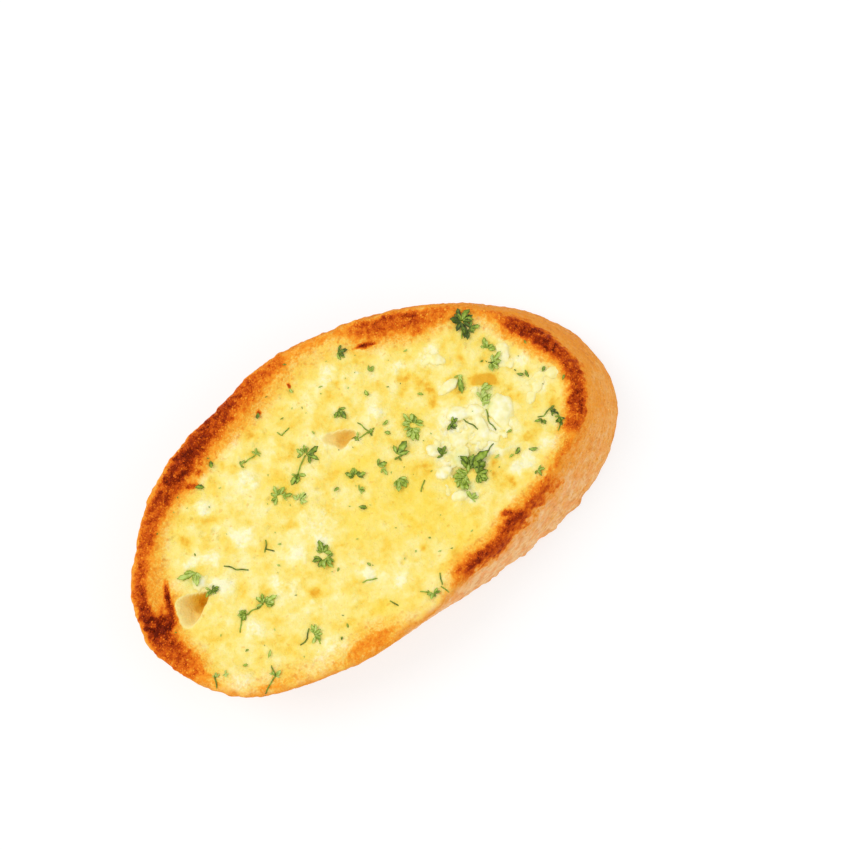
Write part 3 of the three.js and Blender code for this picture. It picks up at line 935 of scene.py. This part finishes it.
def makeGarlic(ground):
    draw = random.Random(garlic["seed"])
    heap = Heap()
    corners, triangles = ball(3)
    for x, y, long, wide, tall, degrees in garlic["bits"]:
        middle = Vector((x, y, heightAt(ground, x, y) - garlic["sunk"] * tall))
        addChip(heap, corners, triangles, middle, (long, wide, tall), math.radians(degrees), draw)
    corners, triangles = ball(2)
    for x, y, long, wide, degrees, thick in garlic["heaps"]:
        turn = math.radians(degrees)
        for _ in range(int(thick * long * wide)):
            away = math.sqrt(draw.random()) / 2
            around = draw.uniform(0, math.tau)
            u = away * long * math.cos(around)
            v = away * wide * math.sin(around)
            px = x + u * math.cos(turn) - v * math.sin(turn)
            py = y + u * math.sin(turn) + v * math.cos(turn)
            size = draw.uniform(*garlic["minced"])
            lift = size * draw.uniform(*garlic["bedded"])
            heaped = garlic["heaped"] * max(0, thick - garlic["heapedFrom"])
            lift += heaped * (0.5 - away) * draw.random()
            middle = Vector((px, py, heightAt(ground, px, py) + lift))
            box = (size * draw.uniform(*garlic["stretch"]), size, garlic["flat"] * size)
            addChip(heap, corners, triangles, middle, box, draw.uniform(0, 3), draw)
    piece = heap.piece("chopped_garlic", garlicFinish())
    remesh = piece.modifiers.new("melt", "REMESH")
    remesh.mode = "VOXEL"
    remesh.voxel_size = garlic["voxel"] * mm
    remesh.use_smooth_shade = True
    soften = piece.modifiers.new("soften", "SMOOTH")
    soften.factor = garlic["melt"]
    soften.iterations = garlic["smoothing"]
    melted = piece.evaluated_get(bpy.context.evaluated_depsgraph_get())
    settled = bpy.data.meshes.new_from_object(melted)
    piece.modifiers.clear()
    piece.data = settled
    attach(piece, "root")
    print("garlic:", len(settled.polygons), "faces")
    shift = bread["centring"]
    for v, outward in zip(settled.vertices, [v.normal.copy() for v in settled.vertices]):
        v.co += outward * mm * wander(garlic["lumps"], v.co / mm)
    points = [v.co / mm - Vector((shift[0], shift[1], 0)) for v in settled.vertices]
    addFields(settled, {
        "rise": [p.z - heightAt(ground, p.x, p.y, 0.0) for p in points],
        "herb": [spotShare(herbSpots, p.x, p.y) for p in points],
    })
    return points, [list(face.vertices) for face in settled.polygons]


parsley = {
    "seed": 5, "stations": 7, "thick": 0.14, "lift": 0.08,
    # shares of a lobe's length, then how deeply it is folded
    "width": (0.16, 0.24), "curl": (-0.05, 0.34), "sway": (-0.3, 0.3), "fold": (0.1, 1.1),
    "rounded": (1.3, 0.75), "teeth": (0.88, 1.12), "toothLean": 0.2, "flutter": (0.25, 1.3),
    "lobeSize": (0.7, 1.24), "lobeTurn": (-15, 15), "lobeShade": (-0.12, 0.12),
    "leafSize": (0.75, 1.1), "leafScale": 0.94, "leafTurn": (-8, 8), "leafOut": (0, 0.3),
    "leafShade": (-0.2, 0.12),
    "stalk": 0.14, "stalkSides": 6, "stalkStep": 0.5, "stalkWander": (0.35, 1.7),
    "stalkLift": 0.12, "stalkTip": 0.8, "stalkDrop": 0.5, "stalkShade": (0.3, 0.7),
    # across a lobe: how far out, which side of it, how near its rib
    "section": [
        (-1, 0, 0), (-0.55, 1, 0.55), (0, 0.8, 1), (0.55, 1, 0.55), (1, 0, 0), (0.55, -1, 0.5), (0, -1, 1),
        (-0.55, -1, 0.5),
    ],
    "lobes": [(-52, 0.74), (50, 0.74), (0, 1)],   # the way each points, and its length
    # a sprig: where its leaflets start, their length, the way they point, how many, over what
    # angle they spread, and how dark they are
    "sprigs": [
        (34.5, 15.5, 2.9, 55, 6, 300, 1.02), (35, 13.5, 2.2, -76, 3, 120, 0.95),
        (35.5, 7.5, 2.2, 45, 3, 100, 0.6), (34.5, 4.5, 2.6, -45, 4, 120, 0.35),
        (27.2, 6.4, 2.2, -117, 1, 0, 0.5), (26, 3.9, 2, -100, 1, 0, 0.6), (29.2, 0.9, 3.2, -18, 1, 0, 0.5),
        (28.2, -0.8, 2.6, 30, 2, 60, 0.25), (27.4, -1.4, 2.2, -20, 2, 50, 0.2),
        (8.5, 25.5, 2.4, -47, 2, 40, 0.85), (11.5, 18.5, 1.7, -14, 1, 0, 0.6),
        (36.2, -11.8, 1.6, -140, 2, 60, 0.85), (38.4, -11.3, 1.8, -40, 2, 50, 0.95),
        (39.4, -13.4, 2, -125, 2, 40, 0.9), (19.5, -1.5, 2.2, -35, 2, 60, 0.85),
        (2, 15, 2.6, -100, 2, 30, 0.8), (4.5, 7, 1.4, -56, 2, 70, 0.75), (2, 7, 1.4, 155, 2, 50, 0.75),
        (13, 3, 2.4, 74, 4, 150, 0.5), (12.5, 2.5, 2.8, -115, 3, 70, 0.45), (6, -0.5, 3.2, 8, 1, 0, 0.8),
        (6.5, -1, 1.7, -96, 1, 0, 0.7), (1, 0, 2.8, -6, 1, 0, 0.65), (2, -1, 1.9, -76, 1, 0, 0.65),
        (-3.5, 0.5, 2, 60, 4, 130, 0.65), (-4.5, -2, 1.6, -30, 2, 30, 0.6),
        (4, -4.5, 2.8, -110, 2, 20, 0.6), (-9.5, 10.5, 2.6, 31, 4, 170, 0.6),
        (-13, 8, 2.6, -146, 2, 50, 0.7), (-19, 6, 2.4, 66, 4, 200, 0.55), (-16, 3, 1.7, 26, 3, 160, 0.25),
        (-22, 16.5, 1.6, -4, 1, 0, 0.6), (-18, 16.5, 1.5, 27, 2, 60, 0.6), (17, -12, 4.2, 50, 2, 26, 0.75),
        (17.5, -13.5, 3, -35, 3, 60, 0.7), (16.5, -12.5, 2.8, 165, 3, 90, 0.5),
        (15, -12.5, 2.6, -145, 3, 60, 0.45), (14, -6.5, 2, 65, 2, 60, 0.8),
        (13.5, -17.5, 2.2, 11, 2, 35, 0.45), (28.5, -20, 1.7, -66, 2, 50, 0.75),
        (-18.5, -9, 2.6, 51, 3, 90, 0.6), (-18.5, -10, 2.6, -70, 3, 60, 0.6),
        (-19, -10, 2.6, -154, 2, 70, 0.6), (-41.5, 3, 3.4, -148, 2, 30, 0.35),
        (-41.5, -2, 1.8, -94, 3, 120, 0.75), (-34.5, -11, 2.2, 41, 4, 130, 0.55),
        (-38.5, -10.5, 1.9, 155, 3, 80, 0.5), (-29.5, -22, 2.2, -15, 3, 90, 0.5),
        (-41, -25, 1.6, 26, 2, 60, 0.5), (-51, -18.5, 1.4, 66, 1, 0, 0.5),
        (-49, -18.5, 1.2, -55, 2, 60, 0.3), (-4.5, -29, 1.6, -125, 3, 150, 0.6),
    ],
    "stalks": [
        [(34, 5), (36, 4)],
        [(35.4, -10.8), (36.6, -11.6), (38.6, -11.1), (39.6, -12.6), (39.3, -14.6), (37.4, -15.8)],
        [(3.5, 10), (4.5, 7), (2, 7)], [(8, -8.5), (6, -10)], [(-9.5, 10.5), (-13, 8)],
        [(-21, 16.5), (-18, 16.5)], [(-11.5, 18), (-11, 17), (-9, 17.5)], [(24.4, -10.2), (22.6, -11.2)],
        [(-26.5, 0), (-28, -2)], [(-27.5, -1.5), (-26.5, -3)], [(-36.5, 0.5), (-35, -1.5), (-33, -3)],
        [(-34.5, -11), (-39, -10.5)], [(-39.5, -10.5), (-41.5, -13)],
        [(-29.5, -20.5), (-31, -22), (-33, -22.5)], [(-29, -23), (-29.5, -24.5)],
        [(-40, -22.5), (-41, -25), (-44.5, -26.5)], [(-50.5, -17.5), (-52, -20)],
        [(-6.5, -27.5), (-4.5, -29)], [(-2.4, -29.3), (-1.5, -30.9)], [(-0.7, -26.7), (-1.9, -29.1)],
        [(-15, -19), (-14, -19), (-12, -20)], [(-12.5, -25.5), (-11.8, -27.2)], [(22.4, -2.4), (23.7, -6)],
        [(27.6, -3.2), (26.3, -6.2), (26.6, -8.2)], [(-16, 3), (-14, 3.5)], [(34.5, 15.5), (32.5, 12.5)],
    ],
    # loose flecks: x, y, length, direction
    "flecks": [
        (-9, 0.5, 1.3, 6), (-11, -10.5, 0.6, -35), (-18, -14, 0.8, 26), (-12, -16, 1, -55),
        (1.5, -19, 0.6, -35), (1.5, -22.5, 0.8, -25), (9.5, -23, 0.6, -15), (-22.5, -22, 0.6, -35),
        (-22.5, -24, 1, -105), (-25.5, -26.5, 0.8, 46), (-2.5, -20, 0.6, 25), (-40.5, 5.5, 0.7, 57),
        (-25, -2, 0.8, -35), (-27.5, -5.5, 0.8, -65), (-45.5, -11.5, 0.6, 47), (-38.5, -19.5, 1.7, -119),
        (-43, -17, 0.8, 11), (-45, -19, 1, -45), (9, 15, 1.5, -115), (-5.5, 14, 0.9, -66),
        (-12.5, 24, 1.3, -114), (-9.5, 20, 0.8, -14), (-26.5, 21, 1.7, -114), (-32.5, 18, 1.9, -25),
        (-28.5, 15, 0.6, -35), (-6.5, -5, 1.7, -57), (-4, 24.5, 1.1, -110), (-2.5, 29.5, 0.9, -35),
        (1, 21, 0.9, -4), (12.5, 17.5, 1.3, 46), (17.5, 8, 1.3, -30), (7.5, 6.5, 1.5, -9), (7, 5, 1.3, -45),
        (39.5, -1, 1.6, -121), (37.5, -0.5, 1.5, -61), (42, -3.5, 1.3, 25), (44.5, -7.5, 1.1, 44),
        (32.5, 6, 0.9, -4), (26.9, 5.8, 3.4, -112), (22.7, -13, 1.3, -14), (25.4, -14.7, 1.2, 10),
        (26.9, -14.7, 1.6, 4), (29.9, -15.4, 1.8, -50), (28, -10, 1.3, -14), (13, 13, 0.6, -35),
        (20.5, 17.5, 0.9, -35), (43, 4.5, 0.9, -97), (4, -23.5, 0.6, -35),
    ],
    "fleckScale": 1.1, "fleckWidth": (0.15, 0.28), "fleckShade": (0.4, 0.9),
    # tiny flecks strewn over the whole face, this far in from the crust
    "dust": 60, "dustSize": (0.3, 0.6), "dustShade": (0.4, 0.95), "dustInset": (4, 60),
}


def parsleyFinish():
    finish, wire = newFinish("parsley")
    tint = 0.1 + wire.field("shade") - 0.5 * wire.field("rib") + 0.4 * (wire.marks((0.3, 0.7, 0.9, 2)) - 0.5)
    stops = [
        (0.0, tone(196, 216, 112)), (0.25, tone(168, 192, 62)), (0.5, tone(130, 156, 26)),
        (0.75, tone(92, 116, 8)), (1.0, tone(58, 76, 4)),
    ]
    closeFinish(wire, {
        "Base Color": wire.colours(stops, tint),
        "Roughness": 0.3 + 0.2 * wire.grain(0.5),
        "Specular IOR Level": 0.45,
        "Subsurface Weight": 0.15,
        "Subsurface Radius": (0.7, 1.0, 0.2),
        "Subsurface Scale": 0.0006,
        "Normal": wire.bump(wire.grain(0.35), 0.08),
    })
    return finish


def addLobe(heap, ground, root, degrees, length, shade, draw, wide=parsley["width"]):
    # one rounded lobe of a leaf, creased along its rib, laid over what is under it
    stations = parsley["stations"]
    half = length * draw.uniform(*wide)
    curl = draw.uniform(*parsley["curl"]) * length
    fold = draw.uniform(*parsley["fold"])
    sway = draw.uniform(*parsley["sway"]) * length
    seed = draw.uniform(0, 50)
    cosine = math.cos(math.radians(degrees))
    sine = math.sin(math.radians(degrees))
    points = []
    flutters, often = parsley["flutter"]

    def laid(along, across, layer, lean):
        x = root[0] + along * cosine - across * sine
        y = root[1] + along * sine + across * cosine
        share = along / length
        ribX = root[0] + along * cosine
        ribY = root[1] + along * sine
        under = max(heightAt(ground, x, y, offBread), heightAt(ground, ribX, ribY, offBread))
        if under < 0:
            under = points[-1].z if points else bread["thick"]
        flutter = flutters * noise.noise(Vector((along, across, seed)) * often)
        rise = max(0, curl * share * share + fold * lean + flutter)
        points.append(Vector((x, y, under + parsley["lift"] + rise + layer * parsley["thick"] / 2)))

    laid(0.0, 0.0, 0, 0)
    later, blunt = parsley["rounded"]
    for station in range(1, stations):
        share = station / stations
        width = half * (4 * share ** later * (1 - share ** later)) ** blunt
        tooth = parsley["teeth"][station % 2]
        for across, layer, rib in parsley["section"]:
            forward = parsley["toothLean"] * length * (tooth - 1) * abs(across)
            reach = across * width * (tooth if layer == 0 else 1)
            laid(share * length + forward, reach + sway * share * share, layer, abs(across) * width)
    laid(length, sway, 0, 0)

    around = len(parsley["section"])
    faces = [[0, 1 + (k + 1) % around, 1 + k] for k in range(around)]
    for station in range(stations - 2):
        start = 1 + station * around
        for k in range(around):
            following = (k + 1) % around
            faces.append([start + k, start + following, start + around + following, start + around + k])
    last = len(points) - 1
    start = last - around
    faces += [[last, start + k, start + (k + 1) % around] for k in range(around)]
    ribs = [0.5] + [rib for _ in range(stations - 1) for across, layer, rib in parsley["section"]] + [0.0]
    heap.add(points, faces, shade, ribs)


def addLeaf(heap, ground, root, degrees, length, shade, draw):
    # a leaf of three lobes
    for turn, share in parsley["lobes"]:
        size = length * share * draw.uniform(*parsley["lobeSize"])
        way = degrees + turn + draw.uniform(*parsley["lobeTurn"])
        addLobe(heap, ground, root, way, size, shade + draw.uniform(*parsley["lobeShade"]), draw)


def addStalk(heap, ground, route, shade):
    # a thin bent stalk lying along its route
    sides = parsley["stalkSides"]
    dense = []
    for (ax, ay), (bx, by) in zip(route, route[1:]):
        steps = max(2, int(math.hypot(bx - ax, by - ay) / parsley["stalkStep"]))
        dense += [(between(ax, bx, k / steps), between(ay, by, k / steps)) for k in range(steps)]
    dense.append(route[-1])
    middle = []
    stray, every = parsley["stalkWander"]
    for x, y in dense:
        here = Vector((x, y, 7)) / every
        x += stray * noise.noise(here)
        y += stray * noise.noise(-here)
        z = heightAt(ground, x, y, offBread)
        z = middle[-1].z - parsley["stalkDrop"] if z < 0 and middle else max(z, 0)
        middle.append(Vector((x, y, z + parsley["stalk"] + parsley["stalkLift"] * noise.noise(here * 2))))
    points = []
    for k, p in enumerate(middle):
        ahead = middle[min(k + 1, len(middle) - 1)] - middle[max(k - 1, 0)]
        side = Vector((-ahead.y, ahead.x, 0)).normalized()
        up = ahead.cross(side).normalized()
        up = -up if up.z < 0 else up
        reach = parsley["stalk"] * (parsley["stalkTip"] if k in (0, len(middle) - 1) else 1.0)
        for n in range(sides):
            turn = math.tau * n / sides
            points.append(p + side * reach * math.cos(turn) + up * reach * math.sin(turn))
    faces = []
    for k in range(len(middle) - 1):
        start = k * sides
        for n in range(sides):
            following = (n + 1) % sides
            faces.append([start + n, start + sides + n, start + sides + following, start + following])
    faces.append(list(range(sides)))
    faces.append([len(points) - 1 - n for n in range(sides)])
    heap.add(points, faces, shade)


faceBox = {"x": (-60, 52), "y": (-34, 34)}   # holds all of the buttered face


def faceSpot(draw, insetRange):
    # a place on the buttered face, within this range in from the crust
    while True:
        x = draw.uniform(*faceBox["x"])
        y = draw.uniform(*faceBox["y"])
        angle = math.atan2(y, x + bread["slant"] / 2)
        inset = outlineRadius(bread["upperSwell"], angle) - math.hypot(x + bread["slant"] / 2, y)
        if insetRange[0] < inset < insetRange[1]:
            return x, y, angle, inset


def makeParsley(ground):
    draw = random.Random(parsley["seed"])
    heap = Heap()
    for x, y, length, degrees, count, spread, dark in parsley["sprigs"]:
        for k in range(count):
            share = k / (count - 1) - 0.5 if count > 1 else 0.0
            turn = degrees + share * spread + draw.uniform(*parsley["leafTurn"])
            out = draw.uniform(*parsley["leafOut"]) * length
            root = (x + out * math.cos(math.radians(turn)), y + out * math.sin(math.radians(turn)))
            size = parsley["leafScale"] * length * draw.uniform(*parsley["leafSize"])
            addLeaf(heap, ground, root, turn, size, dark + draw.uniform(*parsley["leafShade"]), draw)
    for route in parsley["stalks"]:
        addStalk(heap, ground, route, draw.uniform(*parsley["stalkShade"]))
    for x, y, length, degrees in parsley["flecks"]:
        size = length * parsley["fleckScale"]
        shade = draw.uniform(*parsley["fleckShade"])
        addLobe(heap, ground, (x, y), degrees, size, shade, draw, parsley["fleckWidth"])
    for _ in range(parsley["dust"]):
        x, y = faceSpot(draw, parsley["dustInset"])[:2]
        size = draw.uniform(*parsley["dustSize"])
        turn = draw.uniform(0, 360)
        addLobe(heap, ground, (x, y), turn, size, draw.uniform(*parsley["dustShade"]), draw)
    piece = heap.piece("parsley", parsleyFinish())
    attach(piece, "root")
    print("parsley:", len(heap.faces), "faces")


crumbBits = {
    "seed": 8, "count": 4200, "inset": (0.7, 9),
    "least": 0.42, "darkest": 0.97, "shade": (-0.2, 0.12),   # of browning
    "size": (0.16, 0.42), "flat": (0.7, 1.3), "tall": (0.6, 1.1), "radius": 0.6,
    "uneven": (0.6, 1.7),              # height, and how often over a bit
    "lift": 0.1,
}


def crumbFinish():
    finish, wire = newFinish("toast_crumbs")
    closeFinish(wire, {
        "Base Color": wire.colours(breadLooks["toast"], wire.field("shade") + 0.3 * (wire.grain(0.4) - 0.5)),
        "Roughness": 0.36 + 0.2 * wire.grain(0.3),
        "Specular IOR Level": 0.1,
        "Normal": wire.bump(wire.grain(0.2), 0.04),
    })
    return finish


def makeCrumbs(ground):
    # crisp bits of crumb that stand up from the browned rim
    draw = random.Random(crumbBits["seed"])
    heap = Heap()
    corners, triangles = ball(1)
    tall, often = crumbBits["uneven"]
    while len(heap.shades) < crumbBits["count"] * len(corners):
        x, y, angle, inset = faceSpot(draw, crumbBits["inset"])
        level = browning(angle, inset, x, y)
        if level < crumbBits["least"] or draw.random() > level or not heightAt(ground, x, y):
            continue
        size = draw.uniform(*crumbBits["size"])
        seed = Vector((draw.uniform(0, 50), 0, 0))
        middle = Vector((x, y, heightAt(ground, x, y) + crumbBits["lift"] * size))
        stretch = [draw.uniform(*crumbBits[way]) for way in ("flat", "flat", "tall")]
        points = []
        for corner in corners:
            p = corner * size * crumbBits["radius"] * (1 + tall * noise.noise(corner * often + seed))
            points.append(middle + Vector((p.x * stretch[0], p.y * stretch[1], p.z * stretch[2])))
        heap.add(points, triangles, min(crumbBits["darkest"], level + draw.uniform(*crumbBits["shade"])))
    piece = heap.piece("toast_crumbs", crumbFinish(), smooth=False)
    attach(piece, "root")
    print("crumbs:", len(heap.faces), "faces")


studio = {
    # the camera: what it looks at and how that lies off the picture's middle, both in mm
    "look": (-1.5, -4.5, 9.0), "aside": 10.7, "above": 16.1,
    "azimuth": -35, "elevation": 75, "away": 430, "lens": 85, "film": 36,
    "nearest": 0.01,                   # metres
    "floorReach": 3.0,                 # metres each way
    "floorDrop": 0.2, "floorTone": 0.36, "floorGlow": 0.66,
    "sky": 0.78,
    # x, y, z and size in metres, and watts
    "lamps": [((-0.45, 0.35, 0.75), 0.5, 2.6), ((0.35, -0.5, 0.6), 0.6, 0.7)],
}


def paleFinish():
    finish, wire = newFinish("pale_floor")
    grey = studio["floorTone"]
    closeFinish(wire, {
        "Base Color": (grey, grey, grey, 1), "Roughness": 0.8, "Specular IOR Level": 0.1,
        "Emission Color": (1, 1, 1, 1), "Emission Strength": studio["floorGlow"],
    })
    return finish


def makeStudio():
    mesh = bpy.data.meshes.new("floor")
    reach = studio["floorReach"]
    down = -studio["floorDrop"] * mm
    corners = [(-reach, -reach, down), (reach, -reach, down), (reach, reach, down), (-reach, reach, down)]
    mesh.from_pydata(corners, [], [(0, 1, 2, 3)])
    mesh.materials.append(paleFinish())
    floor = bpy.data.objects.new("floor", mesh)
    bpy.context.scene.collection.objects.link(floor)

    world = bpy.data.worlds.new("soft_room")
    world.use_nodes = True
    sky = world.node_tree.nodes["Background"].inputs
    sky["Color"].default_value = (1.0, 1.0, 1.0, 1.0)
    sky["Strength"].default_value = studio["sky"]
    bpy.context.scene.world = world

    for place, size, watts in studio["lamps"]:
        light = bpy.data.lights.new("softbox", "AREA")
        light.shape = "DISK"
        light.size = size
        light.energy = watts
        lamp = bpy.data.objects.new("softbox", light)
        lamp.location = place
        lamp.rotation_euler = (-Vector(place)).to_track_quat("-Z", "Y").to_euler()
        bpy.context.scene.collection.objects.link(lamp)

    turn = math.radians(studio["azimuth"])
    tilt = math.radians(studio["elevation"])
    back = Vector((math.sin(turn) * math.cos(tilt), -math.cos(turn) * math.cos(tilt), math.sin(tilt)))
    right = Vector((math.cos(turn), math.sin(turn), 0))
    up = back.cross(right)
    lens = bpy.data.cameras.new("camera")
    lens.lens = studio["lens"]
    lens.sensor_width = studio["film"]
    lens.clip_start = studio["nearest"]
    camera = bpy.data.objects.new("camera", lens)
    offset = back * studio["away"] + right * studio["aside"] + up * studio["above"]
    camera.location = (Vector(studio["look"]) + offset) * mm
    camera.rotation_euler = back.to_track_quat("Z", "Y").to_euler()
    bpy.context.scene.collection.objects.link(camera)
    bpy.context.scene.camera = camera
    bpy.context.scene.view_settings.view_transform = "Standard"
    print("studio ready")


makeStudio()
breadPoints, breadFaces = makeBreadPiece()
breadGround = BVHTree.FromPolygons(breadPoints, breadFaces)
garlicPoints, garlicFaces = makeGarlic(breadGround)
above = len(breadPoints)
dressed = breadFaces + [[above + k for k in face] for face in garlicFaces]
makeParsley(BVHTree.FromPolygons(breadPoints + garlicPoints, dressed))
makeCrumbs(breadGround)
